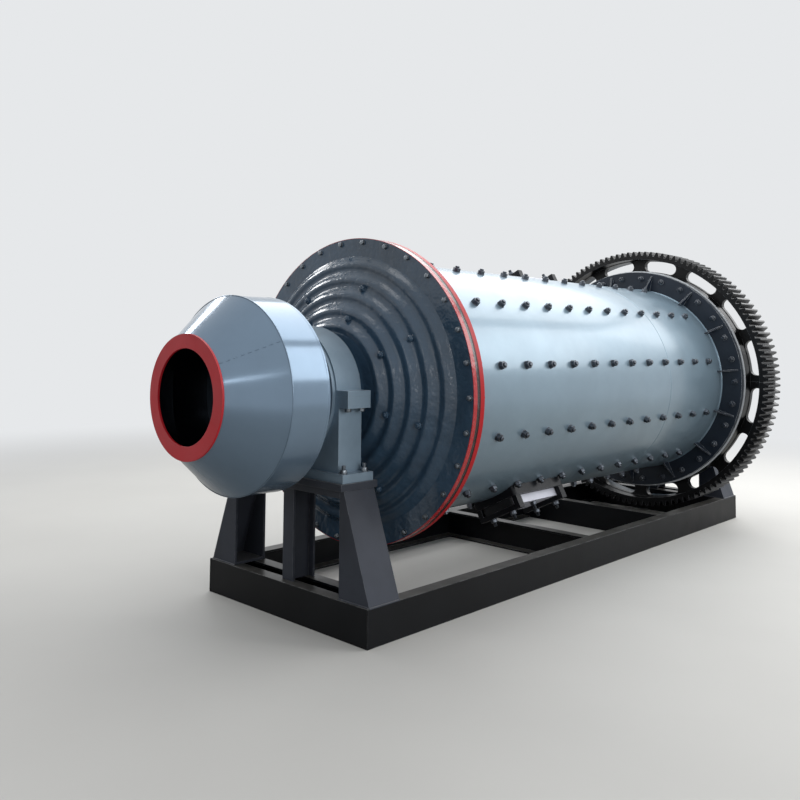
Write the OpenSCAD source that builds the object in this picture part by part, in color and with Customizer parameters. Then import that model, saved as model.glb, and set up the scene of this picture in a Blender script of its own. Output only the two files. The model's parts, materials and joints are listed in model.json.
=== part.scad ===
// Trunnion-mounted ball mill on its skid: a rolled and bolted drum with waved cast heads,
// a girth gear in two halves, a cone feeder and plain bearings on fabricated pedestals.
// X runs along the mill from the feed end to the gear end, Z is up and the origin lies on the
// floor below the middle of the overall length. Millimetres.

/* [Drum] */
// Outer diameter of the rolled shell
shell_od = 1532; // [1480:2:1560]
// Plate thickness of the shell
shell_wall = 16; // [10:1:24]
// Length of the shell between its end faces
shell_l = 3500; // [3200:10:4000]
// Height of the drum's axis above the floor
axis_h = 1195; // [1160:5:1260]

/* [Flanges] */
// Height of the feed end's bolted flanges above the shell
feed_flange_h = 122; // [104:1:134]
// Thickness of each flange
flange_t = 46; // [36:1:56]
// Number of gussets behind the gear-end flange
gussets = 15; // [10:1:30]
// Thickness of a gusset
gusset_t = 12; // [8:1:20]
// Length of a gusset along the shell
gusset_l = 80; // [60:5:180]
// Bare land of flange beyond a gusset
gusset_land = 24; // [12:1:60]

/* [Heads] */
// Rise of a head from its flange face to its hub
head_rise = 165; // [120:1:180]
// Wall of a head, along the mill
head_wall = 46; // [34:1:60]
// Number of concentric waves on a head
head_waves = 5; // [2:1:7]
// Height of a wave
wave_h = 22; // [8:1:30]
// Width of the flat ring inside a flange's rim
head_flat = 108; // [90:1:150]
// Outer diameter of the flat hub inside the waves
hub_od = 660; // [600:2:700]
// Journal diameter of the trunnions
trunnion_od = 474; // [440:2:490]
// Bore of the trunnions
trunnion_bore = 368; // [356:2:400]
// Fillet between hub and journal
hub_fillet = 50; // [15:1:60]
// Length of bare journal between the feed head's fillet and the bearing's inner cover
journal_feed = 62; // [8:1:140]
// Same length at the discharge head
journal_discharge = 10; // [8:1:100]
// Length of trunnion beyond the feed bearing's middle
trunnion_out = 265; // [220:1:360]

/* [Ring gear] */
// Outside diameter of the ring gear
gear_od = 2217; // [2190:1:2260]
// Number of teeth, an even number
gear_teeth = 130; // [100:2:160]
// Pressure angle of the teeth
pressure_angle = 20; // [14.5:0.5:25]
// Face width of the teeth
gear_w = 270; // [200:2:320]
// Thickness of the gear's web and of its bolting ring
gear_web_t = 46; // [30:1:60]
// How far the web lies beyond the bolting ring's front
web_shift = 105; // [60:1:140]
// How far the rim starts before the bolting ring's front
rim_lead = 4; // [2:1:60]
// Thickness of the hub round the discharge head's flange
hub_t = 30; // [16:1:40]
// Thickness of the rim below the teeth
rim_t = 32; // [24:1:44]
// Number of windows in the web, a multiple of two
gear_windows = 16; // [8:2:20]
// Length of a window
window_l = 286; // [180:1:300]
// Height of a window, as a share of the depth between shell and rim
window_share = 0.352; // [0.2:0.002:0.37]
// Thickness of the ribs on the spokes
rib_t = 16; // [10:1:26]
// Thickness of the flanges that join the two halves
split_flange_t = 26; // [18:1:34]

/* [Feeder] */
// Diameter of the feeder's drum
feeder_od = 1020; // [940:2:1100]
// Length of the feeder's straight drum
feeder_l = 228; // [160:1:300]
// Length of the feeder's cone
cone_l = 248; // [160:1:300]
// Outer diameter of the ring round the mouth
mouth_od = 622; // [560:1:660]
// Inner diameter of the ring round the mouth
mouth_id = 478; // [430:1:500]
// Plate thickness of the feeder
feeder_wall = 10; // [6:1:14]
// Thickness of the mouth ring and of the back plate
feeder_plate_t = 12; // [8:1:20]

/* [Discharge tube] */
// Outer diameter of the discharge tube
tube_od = 340; // [300:2:348]
// Wall of the discharge tube
tube_wall = 8; // [5:1:12]
// Length of tube beyond the skid's end
tube_out = 178; // [100:1:260]
// Length of tube inside the trunnion
tube_in = 180; // [60:5:260]
// Diameter of the flange that bolts the tube to the trunnion
tube_flange_od = 440; // [410:2:460]
// Thickness of that flange
tube_flange_t = 14; // [10:1:24]

/* [Bearings] */
// Radius of the cap's round back
cap_r = 366; // [360:1:380]
// Width of the housing's base across the mill
base_w = 766; // [740:2:800]
// Width of a housing along the mill
housing_w = 166; // [140:2:200]
// Height of the axis above the pedestal's top
housing_h = 435; // [410:5:460]
// Wall of the bearing bush
bush_wall = 25; // [15:1:40]
// Reach of the bolting ears beyond the housing's side
ear_out = 65; // [40:1:80]
// Height of the cap's ears
cap_ear_h = 30; // [20:1:50]
// Height of the base's ears
base_ear_h = 60; // [40:1:80]
// Thickness of the housing's foot
foot_t = 45; // [30:1:60]
// Reach of the foot beyond the housing's side
foot_out = 62; // [40:1:80]
// Reach of the foot beyond the housing's faces, along the mill
foot_along = 28; // [10:1:40]
// Diameter of the round end covers
cover_od = 716; // [690:2:720]
// Thickness of the end covers' plate
cover_t = 22; // [14:1:30]
// Width of the end covers' bolted rim
cover_rim = 65; // [50:1:80]
// Height of the feed bearing's outer cover above its rim
feed_boss = 14; // [6:1:30]
// Diameter of the raised middle of the discharge bearing's cover
boss_od = 524; // [490:2:560]
// Height of that middle above the cover's rim
boss_h = 36; // [24:1:60]
// Height of the gland ring on that middle
gland_h = 20; // [10:1:30]

/* [Pedestals] */
// Distance from the skid's end to the middle of a bearing
bearing_inset = 125; // [120:1:160]
// Width of a leg along the mill
leg_w = 220; // [180:2:230]
// Distance from the mill's middle plane to a leg's upright inner edge
leg_inner = 425; // [380:1:430]
// Same distance for the foot of the leg's slanted outer plate
leg_foot = 636; // [600:1:640]
// Same distance for the top of the leg's slanted outer plate
leg_top = 452; // [440:1:470]
// Plate thickness of the legs
leg_plate = 14; // [8:1:20]
// Thickness of the pedestal's top plate
top_plate_t = 35; // [20:1:50]
// Depth of the aprons below the top plate
apron_h = 38; // [20:1:80]
// Overhang of the top plate past the legs, along the mill
top_overhang = 22; // [0:1:40]
// Depth of the middle post's I-section, along the mill
post_d = 160; // [120:2:180]
// Flange width of the middle post
post_w = 84; // [60:2:120]
// Flange thickness of the middle post
post_flange_t = 12; // [8:1:18]
// Web thickness of the middle post
post_web_t = 10; // [6:1:14]

/* [Skid] */
// Width of the skid
skid_w = 1280; // [1276:2:1400]
// Height of the skid
skid_h = 190; // [140:5:220]
// Flange width of the skid's channels
channel_flange = 80; // [60:1:90]
// Web thickness of the skid's channels
channel_web = 10; // [6:1:14]
// Flange thickness of the skid's channels
channel_t = 12; // [8:1:18]
// Distance from the skid's feed end to the first middle cross beam
beam_a_at = 2166; // [1800:1:2400]
// Distance from the skid's feed end to the second middle cross beam
beam_b_at = 3264; // [2900:1:3400]
// Distance from the skid's ends to the outer cross beams
cross_inset = 160; // [120:5:240]

/* [Manholes] */
// Distance from the shell's middle to the middle of each manhole
manhole_off = 590; // [500:1:1000]
// Angle of the lower manhole round the drum, from the near side upwards
manhole_angle = -63; // [-80:1:-50]
// Length of a manhole's frame along the mill
manhole_l = 560; // [440:2:640]
// Width of a manhole's frame round the shell
manhole_w = 340; // [280:2:380]
// Width of the frame's rim
manhole_rim = 55; // [40:1:70]
// Height of the frame above the shell
manhole_h = 40; // [20:1:60]
// Thickness of a manhole's cover
lid_t = 50; // [20:1:60]
// Width of a clamp bar
clamp_w = 50; // [30:1:80]
// Height of a clamp bar over the cover
clamp_h = 30; // [20:1:50]
// Thickness of a clamp's legs, across the manhole
clamp_leg = 34; // [20:1:40]

/* [Hidden] */
$fn = 120;

// Clearances between pieces that turn, slide or seat in each other
journal_gap = 0.3;
seat_gap = 0.1;
spigot_gap = 0.5;
turn_gap = 6;

// Radii of the drum
shell_r = shell_od / 2;
shell_in_r = shell_r - shell_wall;
trunnion_r = trunnion_od / 2;
tube_r = tube_od / 2;
hub_r = hub_od / 2;
spigot_l = 12;
spigot_ring = 50;
spigot_land = 5;
points_a_wave = 12;
register_step = 34;
gear_bore_r = shell_r + register_step;
feed_flange_r = shell_r + feed_flange_h;

// Stations along the mill, from the feed end of the skid onwards
neck_feed = housing_w / 2 + cover_t + journal_feed + hub_fillet + head_rise;
neck_discharge = housing_w / 2 + cover_t + journal_discharge + hub_fillet + head_rise;
skid_l = 2 * bearing_inset + neck_feed + neck_discharge + 2 * flange_t + shell_l + gear_web_t;
feeder_reach = trunnion_out + 2 * feeder_plate_t + feeder_l + cone_l;
feeder_over = feeder_reach - bearing_inset;
skid_x0 = (feeder_over - skid_l - tube_out) / 2;
skid_x1 = skid_x0 + skid_l;
feed_bearing_x = skid_x0 + bearing_inset;
discharge_bearing_x = skid_x1 - bearing_inset;
feed_joint_x = feed_bearing_x + neck_feed + flange_t;
gear_joint_x = feed_joint_x + shell_l;
discharge_joint_x = gear_joint_x + gear_web_t;
shell_mid_x = (feed_joint_x + gear_joint_x) / 2;
back_plate_x = feed_bearing_x - trunnion_out - feeder_plate_t;
cone_x = back_plate_x - feeder_l;
mouth_x = cone_x - cone_l;
ring_lip = 8;

// Gear
tooth_depth = 2.25;
flank_reach = 0.4;
tooth_module = gear_od / (gear_teeth + 2);
pitch_r = tooth_module * gear_teeth / 2;
root_r = gear_od / 2 - tooth_depth * tooth_module;
base_r = pitch_r * cos(pressure_angle);
rim_in_r = root_r - rim_t;
window_land = 4;
window_h = window_share * (rim_in_r - shell_r);
window_r = rim_in_r - window_land - window_h / 2;
rim_x = gear_joint_x - rim_lead;
web_x = gear_joint_x + web_shift;
spoke_step = 360 / gear_windows;
hub_out_r = rim_in_r - window_h - 2 * window_land;
gear_flange_r = hub_out_r - hub_t;
flange_setback = 12;
gusset_root = 20;
gusset_nose = 10;
gusset_phase = 0.25;
rib_r = hub_out_r - hub_t / 2;
rib_inset = 12;

// Pedestals
pedestal_top = axis_h - housing_h;
foot_top = pedestal_top + foot_t;
top_plate_z = pedestal_top - top_plate_t;
plate_margin = 5;

// Manholes: corner radii, insets, and how far a frame is drawn below the top of the shell
opening_corner = 40;
frame_corner = 24;
frame_root = 60;
lid_inset = 15;
clamp_inset = 10;
clamp_margin = 6;
lid_gap = 4;
clamp_span = manhole_w - 2 * clamp_margin;
lid_w = clamp_span - 2 * clamp_leg - 2 * lid_gap;

// Bearings
bore_r = trunnion_r + journal_gap + bush_wall;
base_half = base_w / 2;
ear_half = base_half + ear_out;
cover_r = cover_od / 2;
seal_r = trunnion_r + turn_gap;
bush_inset = 4;
gland_r = tube_flange_od / 2 + 2;
cover_wall = 16;

// Turns a profile of radius and station round the drum's axis
module revolve() {
    translate([0, 0, axis_h]) rotate([0, 90, 0]) rotate_extrude() children();
}

// Stands a flat shape, drawn across the mill, up at a station and gives it a thickness
module across(x, t) {
    translate([x, 0, axis_h]) rotate([90, 0, 90]) linear_extrude(t) children();
}

// Carries a piece drawn on top of the drum to an angle round it, from the near side upwards
module at_angle(a) {
    translate([0, 0, axis_h]) rotate([90 - a, 0, 0]) children();
}

// Rod or bore along the mill
module along(x, l, r) {
    translate([x, 0, axis_h]) rotate([0, 90, 0]) cylinder(h = l, r = r);
}

// Carries a piece drawn at zero and facing +X to a station, where it faces the given way
module at_end(x, outwards) {
    translate([x, 0, 0]) mirror([outwards > 0 ? 0 : 1, 0, 0]) children();
}

// Rounded rectangle about its middle
module rounded(l, w, r) {
    for (x = [-1, 1])
        for (y = [-1, 1])
            translate([x * (l / 2 - r), y * (w / 2 - r)]) circle(r = r);
    square([l - 2 * r, w], center = true);
    square([l, w - 2 * r], center = true);
}

// Skid channel with mitred ends, its outer face on the X axis and its flanges towards +Y
module mitred_channel(l) {
    for (z = [0, skid_h - channel_t])
        translate([0, 0, z]) linear_extrude(channel_t)
            polygon([[-l / 2, 0], [l / 2, 0],
                     [l / 2 - channel_flange, channel_flange],
                     [channel_flange - l / 2, channel_flange]]);
    linear_extrude(skid_h)
        polygon([[-l / 2, 0], [l / 2, 0],
                 [l / 2 - channel_web, channel_web], [channel_web - l / 2, channel_web]]);
}

module side_rail(side) {
    color("#1b1e22")
        translate([(skid_x0 + skid_x1) / 2, side * skid_w / 2, 0])
            rotate([0, 0, side < 0 ? 0 : 180]) mitred_channel(skid_l);
}

module end_beam(x, outwards) {
    color("#1b1e22")
        translate([x, 0, 0]) rotate([0, 0, outwards * 90]) mitred_channel(skid_w);
}

// Channel between the side rails, coped round their flanges, its web on the given side
module cross_beam(x, web_side) {
    tip = skid_w / 2 - channel_flange;
    inner = skid_w / 2 - channel_web;
    web_x = web_side > 0 ? x + channel_flange - channel_web : x;
    color("#1b1e22") {
        for (z = [0, skid_h - channel_t])
            translate([x, -tip, z]) cube([channel_flange, 2 * tip, channel_t]);
        translate([web_x, -tip, 0]) cube([channel_web, 2 * tip, skid_h]);
        translate([web_x, -inner, channel_t])
            cube([channel_web, 2 * inner, skid_h - 2 * channel_t]);
    }
}

// Three-sided leg of plates, open towards the middle of the mill
function leg_edge(z) = leg_foot + (leg_top - leg_foot) * (z - skid_h) / (top_plate_z - skid_h);

module leg_outline(inner, inset, z0, z1) {
    polygon([[inner, z0], [leg_edge(z0) - inset, z0], [leg_edge(z1) - inset, z1], [inner, z1]]);
}

module leg(x, side) {
    floor_z = skid_h + leg_plate;
    color("#1d2024")
        translate([x - leg_w / 2, 0, 0]) mirror([0, side < 0 ? 1 : 0, 0]) rotate([90, 0, 90])
            difference() {
                linear_extrude(leg_w) leg_outline(leg_inner, 0, skid_h, top_plate_z);
                translate([0, 0, leg_plate]) linear_extrude(leg_w - 2 * leg_plate)
                    leg_outline(leg_inner - 1, leg_plate, floor_z, top_plate_z + 1);
            }
}

// Upright I-section in the middle of a pedestal, its flanges facing along the mill
module post(x) {
    flange_x = (post_d - post_flange_t) / 2;
    color("#1d2024")
        translate([x, 0, skid_h]) linear_extrude(top_plate_z - skid_h) {
            for (s = [-1, 1])
                translate([s * flange_x, 0]) square([post_flange_t, post_w], center = true);
            square([post_d, post_web_t], center = true);
        }
}

// Top plate with an apron along its front and its back, between the legs
module top_beam(x) {
    plate_l = leg_w + 2 * top_overhang;
    half_w = max(leg_top, base_half + foot_out) + plate_margin;
    color("#1d2024") {
        translate([x - plate_l / 2, -half_w, top_plate_z]) cube([plate_l, 2 * half_w, top_plate_t]);
        for (s = [-leg_w / 2, leg_w / 2 - leg_plate])
            translate([x + s, -leg_inner, top_plate_z - apron_h])
                cube([leg_plate, 2 * leg_inner, apron_h]);
    }
}

module bearing_base(x) {
    color("#5d6b76")
        difference() {
            union() {
                across(x - housing_w / 2, housing_w)
                    translate([-base_half, foot_top - axis_h])
                        square([base_w, axis_h - foot_top]);
                across(x - housing_w / 2, housing_w)
                    translate([-ear_half, -base_ear_h]) square([2 * ear_half, base_ear_h]);
                across(x - housing_w / 2 - foot_along, housing_w + 2 * foot_along)
                    translate([-base_half - foot_out, pedestal_top - axis_h])
                        square([base_w + 2 * foot_out, foot_t]);
            }
            along(x - housing_w, 2 * housing_w, bore_r + seat_gap);
        }
}

module bearing_cap(x) {
    color("#5d6b76")
        difference() {
            across(x - housing_w / 2, housing_w) {
                intersection() {
                    circle(r = cap_r);
                    translate([-cap_r, 0]) square([2 * cap_r, cap_r]);
                }
                translate([-ear_half, 0]) square([2 * ear_half, cap_ear_h]);
            }
            along(x - housing_w, 2 * housing_w, bore_r + seat_gap);
        }
}

module bush(x) {
    l = housing_w - 2 * bush_inset;
    color("#8f7a4a")
        revolve() translate([trunnion_r + journal_gap, x - l / 2]) square([bush_wall, l]);
}

// Ring cover on a housing's side, open round the turning trunnion
module ring_cover(x, outwards, boss) {
    step_r = cover_r - cover_rim;
    color("#5d6b76")
        at_end(x, outwards)
            revolve() {
                translate([seal_r, 0]) square([cover_r - seal_r, cover_t]);
                translate([seal_r, 0]) square([step_r - seal_r, cover_t + boss]);
            }
}

// Stepped cover over the end of the discharge trunnion, open round the discharge tube
module end_cover(x) {
    boss_r = boss_od / 2;
    round_r = boss_h / 2;
    boss_top = cover_t + boss_h;
    edge = [for (a = [0:15:90])
        [boss_r - round_r * (1 - cos(a)), boss_top - round_r * (1 - sin(a))]];
    color("#5d6b76")
        translate([x, 0, 0])
            revolve()
                polygon(concat(
                    [[seal_r, 0], [cover_r, 0], [cover_r, cover_t], [boss_r, cover_t]], edge,
                    [[gland_r, boss_top], [gland_r, boss_top + gland_h],
                     [tube_r + turn_gap, boss_top + gland_h], [tube_r + turn_gap, boss_top - cover_wall],
                     [seal_r, boss_top - cover_wall]]));
}

// Radius and rise of a head's waved face, from the flat ring to the hub
function wave_r(s, flat_r) = flat_r + (hub_r - flat_r) * s;
function wave_rise(s) = head_rise * s + wave_h * (1 - cos(360 * head_waves * s)) / 2;

// Cast head with its hollow trunnion. Its flange seats at zero and the trunnion points up;
// register holds the spigot's steps as pairs of radius and depth below the flange's seat.
module head_casting(flange_r, flat_w, reach, register) {
    flat_r = flange_r - flat_w;
    ring_r = shell_in_r - spigot_ring;
    steps = points_a_wave * head_waves;
    face = [for (i = [0:steps]) [wave_r(i / steps, flat_r), flange_t + wave_rise(i / steps)]];
    back = [for (p = face) if (p[0] < ring_r - spigot_land) [p[0], p[1] - head_wall]];
    hub_z = flange_t + head_rise;
    fillet = [for (a = [270:-15:180])
        [trunnion_r + hub_fillet * (1 + cos(a)), hub_z + hub_fillet * (1 + sin(a))]];
    back_up = [for (i = [len(back) - 1:-1:0]) back[i]];
    revolve()
        polygon(concat(
            [[flange_r, 0], [flange_r, flange_t]], face, fillet,
            [[trunnion_r, reach], [trunnion_bore / 2, reach],
             [trunnion_bore / 2, hub_z - head_wall]],
            back_up,
            [[ring_r, back[0][1]]], register));
}

module feed_head() {
    spigot_r = shell_in_r - spigot_gap;
    color("#2f3d48")
        at_end(feed_joint_x, -1)
            head_casting(feed_flange_r, head_flat, flange_t + neck_feed + trunnion_out,
                         [[shell_in_r - spigot_ring, -spigot_l], [spigot_r, -spigot_l],
                          [spigot_r, 0]]);
}

module discharge_head() {
    spigot_r = shell_in_r - spigot_gap;
    gear_spigot_r = gear_bore_r - spigot_gap;
    color("#4a5863")
        at_end(discharge_joint_x, 1)
            head_casting(gear_flange_r, head_flat - hub_t,
                         flange_t + neck_discharge + housing_w / 2,
                         [[shell_in_r - spigot_ring, -gear_web_t - spigot_l],
                          [spigot_r, -gear_web_t - spigot_l], [spigot_r, -gear_web_t],
                          [gear_spigot_r, -gear_web_t], [gear_spigot_r, 0]]);
}

module manhole_opening() {
    rounded(manhole_l - 2 * manhole_rim, manhole_w - 2 * manhole_rim, opening_corner);
}

module at_manhole(high) {
    side = high ? 1 : -1;
    translate([shell_mid_x + side * manhole_off, 0, 0])
        at_angle(manhole_angle + (high ? 180 : 0)) children();
}

module shell() {
    color("#71838f")
        difference() {
            revolve() translate([shell_in_r, feed_joint_x]) square([shell_wall, shell_l]);
            for (high = [false, true])
                at_manhole(high) linear_extrude(2 * shell_r) manhole_opening();
        }
}

module feed_shell_flange() {
    color("#a3242c")
        revolve()
            translate([shell_r, feed_joint_x]) square([feed_flange_h, flange_t]);
}

module gear_shell_flange() {
    flange_r = hub_out_r - flange_setback;
    gusset_r = flange_r - gusset_land;
    root_r = shell_r - gusset_root;
    step = 360 / gussets;
    x = gear_joint_x - flange_t;
    color("#71838f") {
        difference() {
            union() {
                revolve() translate([shell_r - 1, x]) square([flange_r - shell_r + 1, flange_t]);
                for (i = [0:gussets - 1])
                    at_angle(step * (i + gusset_phase)) rotate([90, 0, 0])
                        translate([0, 0, -gusset_t / 2]) linear_extrude(gusset_t)
                            polygon([[x - gusset_l, root_r], [x + 1, root_r],
                                     [x + 1, gusset_r], [x - gusset_nose, gusset_r],
                                     [x - gusset_l, shell_r + gusset_nose]]);
            }
            along(x - 2 * gusset_l, 2 * gusset_l + 2 * flange_t, shell_r);
        }
    }
}

// Involute teeth: half the angle that a tooth spans at a radius, in degrees
function involute(a) = tan(a) * 180 / PI - a;
function half_tooth(r) =
    90 / gear_teeth + involute(pressure_angle) - involute(acos(base_r / r));
function polar(r, a) = [r * cos(a), r * sin(a)];

// Toothed outline of half the gear, split through the tooth gaps on both sides
module half_outline() {
    flank = flank_reach * tooth_module;
    radii = [root_r, pitch_r - flank, pitch_r + flank, gear_od / 2];
    pitch = 360 / gear_teeth;
    teeth = [for (i = [0:gear_teeth / 2 - 1]) each concat(
        [for (k = [0:3]) polar(radii[k], pitch * (i + 0.5) - half_tooth(radii[k]))],
        [for (k = [3:-1:0]) polar(radii[k], pitch * (i + 0.5) + half_tooth(radii[k]))])];
    polygon(concat([[root_r, 0]], teeth, [[-root_r, 0]]));
}

// Window with round ends that follows the rim between two spokes
module window(a) {
    end_a = (window_l - window_h) / 2 / window_r * 180 / PI;
    half_h = window_h / 2;
    side = [for (s = [-1:0.5:1]) a + s * end_a];
    polygon(concat(
        [for (k = side) polar(window_r + half_h, k)],
        [for (t = [20:20:160]) polar(window_r, a + end_a) + polar(half_h, a + end_a + t)],
        [for (i = [4:-1:0]) polar(window_r - half_h, side[i])],
        [for (t = [200:20:340]) polar(window_r, a - end_a) + polar(half_h, a - end_a + t)]));
}

// Pocket behind the web: all that lies inside the rim, but for the ribs and split flanges
module web_pocket() {
    rib_out = rim_in_r + rim_t / 2 - rib_r;
    difference() {
        circle(r = rim_in_r);
        for (i = [1:gear_windows / 2 - 1])
            rotate(spoke_step * i) translate([rib_r, -rib_t / 2]) square([rib_out, rib_t]);
        for (s = [-1, 1])
            translate([s > 0 ? rib_r : -rib_r - rib_out, -1]) square([rib_out, split_flange_t + 1]);
    }
}

// Half of the girth gear: toothed rim, web with windows on a hub round the head's flange,
// and behind the web the spokes' ribs and the flanges that join the halves
module gear_half(turn) {
    ring_end_x = gear_joint_x + gear_web_t;
    web_end_x = web_x + gear_web_t;
    rim_end_x = rim_x + gear_w;
    color("#1a1c1f")
        translate([0, 0, axis_h]) rotate([turn, 0, 0]) translate([0, 0, -axis_h])
            difference() {
                across(rim_x, gear_w) half_outline();
                along(rim_x - 1, gear_w + 2, gear_bore_r);
                across(rim_x - 1, rim_lead + 1) circle(r = rim_in_r);
                across(rim_x - 1, web_x - rim_x + 1)
                    difference() {
                        circle(r = rim_in_r);
                        circle(r = hub_out_r);
                    }
                along(ring_end_x, rim_end_x - ring_end_x + 1, gear_flange_r + spigot_gap);
                across(rim_end_x - rib_inset, rib_inset + 1) circle(r = rim_in_r);
                across(web_end_x, rim_end_x - web_end_x + 1) web_pocket();
                across(web_x - 1, gear_web_t + 2)
                    for (i = [0:gear_windows / 2 - 1]) window(spoke_step * (i + 0.5));
            }
}

// Sheet metal drum and cone, open at the mouth and closed by the back plate behind
module feeder_drum() {
    cone_r = mouth_od / 2 - ring_lip;
    feeder_r = feeder_od / 2;
    color("#71838f")
        revolve()
            polygon([[feeder_r, back_plate_x], [feeder_r, cone_x], [cone_r, mouth_x],
                     [cone_r - feeder_wall, mouth_x], [feeder_r - feeder_wall, cone_x],
                     [feeder_r - feeder_wall, back_plate_x]]);
}

module feeder_mouth_ring() {
    color("#b3262e")
        revolve()
            translate([mouth_id / 2, mouth_x - feeder_plate_t])
                square([(mouth_od - mouth_id) / 2, feeder_plate_t]);
}

module feeder_back_plate() {
    color("#71838f")
        revolve()
            translate([trunnion_bore / 2, back_plate_x])
                square([(feeder_od - trunnion_bore) / 2, feeder_plate_t]);
}

module discharge_tube() {
    seat_x = discharge_bearing_x + housing_w / 2;
    color("#5d6b76")
        revolve() {
            translate([tube_r - tube_wall, seat_x - tube_in])
                square([tube_wall, skid_x1 + tube_out - seat_x + tube_in]);
            translate([tube_r - 1, seat_x])
                square([tube_flange_od / 2 - tube_r + 1, tube_flange_t]);
        }
}

module manhole_frame(high) {
    color("#2a2f35")
        at_manhole(high)
            difference() {
                translate([0, 0, shell_r - frame_root]) linear_extrude(frame_root + manhole_h)
                    difference() {
                        rounded(manhole_l, manhole_w, frame_corner);
                        manhole_opening();
                    }
                translate([-manhole_l, 0, 0]) rotate([0, 90, 0])
                    cylinder(h = 2 * manhole_l, r = shell_r);
            }
}

module manhole_cover(high) {
    color("#8a98a3")
        at_manhole(high)
            translate([0, 0, shell_r + manhole_h]) linear_extrude(lid_t)
                rounded(manhole_l - 2 * lid_inset, lid_w, frame_corner);
}

// Two bridges over the cover's ends, each standing on the frame on both sides
module manhole_clamps(high) {
    inner = clamp_span - 2 * clamp_leg;
    color("#2a2f35")
        at_manhole(high)
            for (s = [-1, 1])
                translate([s * (manhole_l / 2 - clamp_inset - clamp_w / 2), 0, shell_r + manhole_h])
                    rotate([90, 0, 90]) translate([0, 0, -clamp_w / 2]) linear_extrude(clamp_w)
                        polygon([[-clamp_span / 2, 0], [-inner / 2, 0], [-inner / 2, lid_t],
                                 [inner / 2, lid_t], [inner / 2, 0], [clamp_span / 2, 0],
                                 [clamp_span / 2, lid_t + clamp_h],
                                 [-clamp_span / 2, lid_t + clamp_h]]);
}

side_rail(-1);  // side_rail_near
side_rail(1);  // side_rail_far
end_beam(skid_x0, -1);  // end_beam_feed
end_beam(skid_x1, 1);  // end_beam_discharge
cross_beam(skid_x0 + cross_inset, 1);  // cross_beam_feed
cross_beam(skid_x0 + beam_a_at, 1);  // cross_beam_mid_a
cross_beam(skid_x0 + beam_b_at, -1);  // cross_beam_mid_b
cross_beam(skid_x1 - cross_inset - channel_flange, -1);  // cross_beam_discharge
leg(feed_bearing_x, -1);  // feed_leg_near
leg(feed_bearing_x, 1);  // feed_leg_far
post(feed_bearing_x);  // feed_post
top_beam(feed_bearing_x);  // feed_top_beam
leg(discharge_bearing_x, -1);  // discharge_leg_near
leg(discharge_bearing_x, 1);  // discharge_leg_far
post(discharge_bearing_x);  // discharge_post
top_beam(discharge_bearing_x);  // discharge_top_beam
bearing_base(feed_bearing_x);  // feed_bearing_base
bearing_cap(feed_bearing_x);  // feed_bearing_cap
bush(feed_bearing_x);  // feed_bush
ring_cover(feed_bearing_x - housing_w / 2, -1, feed_boss);  // feed_outer_cover
ring_cover(feed_bearing_x + housing_w / 2, 1, 0);  // feed_inner_cover
bearing_base(discharge_bearing_x);  // discharge_bearing_base
bearing_cap(discharge_bearing_x);  // discharge_bearing_cap
bush(discharge_bearing_x);  // discharge_bush
end_cover(discharge_bearing_x + housing_w / 2);  // discharge_outer_cover
ring_cover(discharge_bearing_x - housing_w / 2, -1, 0);  // discharge_inner_cover
shell();
feed_shell_flange();
gear_shell_flange();
feed_head();
discharge_head();
gear_half(0);  // gear_half_upper
gear_half(180);  // gear_half_lower
feeder_drum();
feeder_mouth_ring();
feeder_back_plate();
discharge_tube();
manhole_frame(false);  // manhole_frame_low
manhole_cover(false);  // manhole_cover_low
manhole_clamps(false);  // manhole_clamps_low
manhole_frame(true);  // manhole_frame_high
manhole_cover(true);  // manhole_cover_high
manhole_clamps(true);  // manhole_clamps_high
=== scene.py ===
# Ball mill on its skid: paint, castings, fasteners, weld beads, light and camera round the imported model.
# Metres. X runs from the feed end to the gear end, -Y is the near side and Z is up.

import json
import math
import random

import bmesh
import bpy
from mathutils import Matrix, Vector

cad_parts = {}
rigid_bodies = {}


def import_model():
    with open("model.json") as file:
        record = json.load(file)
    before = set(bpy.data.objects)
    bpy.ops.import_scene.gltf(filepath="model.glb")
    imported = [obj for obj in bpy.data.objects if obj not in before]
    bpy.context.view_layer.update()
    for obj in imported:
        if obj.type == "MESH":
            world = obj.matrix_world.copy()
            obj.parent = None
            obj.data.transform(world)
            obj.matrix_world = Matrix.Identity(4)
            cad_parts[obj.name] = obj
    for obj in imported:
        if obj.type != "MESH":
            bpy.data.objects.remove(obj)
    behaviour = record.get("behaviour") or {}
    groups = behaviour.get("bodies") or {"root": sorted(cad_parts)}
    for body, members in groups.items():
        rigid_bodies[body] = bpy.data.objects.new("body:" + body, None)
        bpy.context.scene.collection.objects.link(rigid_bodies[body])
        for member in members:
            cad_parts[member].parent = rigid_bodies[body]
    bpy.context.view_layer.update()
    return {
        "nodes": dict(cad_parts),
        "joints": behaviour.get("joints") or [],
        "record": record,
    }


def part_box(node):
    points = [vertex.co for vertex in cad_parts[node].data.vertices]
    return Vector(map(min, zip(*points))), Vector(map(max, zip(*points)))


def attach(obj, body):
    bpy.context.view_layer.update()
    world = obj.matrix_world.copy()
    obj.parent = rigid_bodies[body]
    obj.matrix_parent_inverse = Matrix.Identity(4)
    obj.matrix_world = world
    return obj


# Nothing of the start-up file stays
for stray in list(bpy.data.objects):
    bpy.data.objects.remove(stray)

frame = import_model()
scene = bpy.context.scene
nodes = frame["nodes"]

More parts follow.
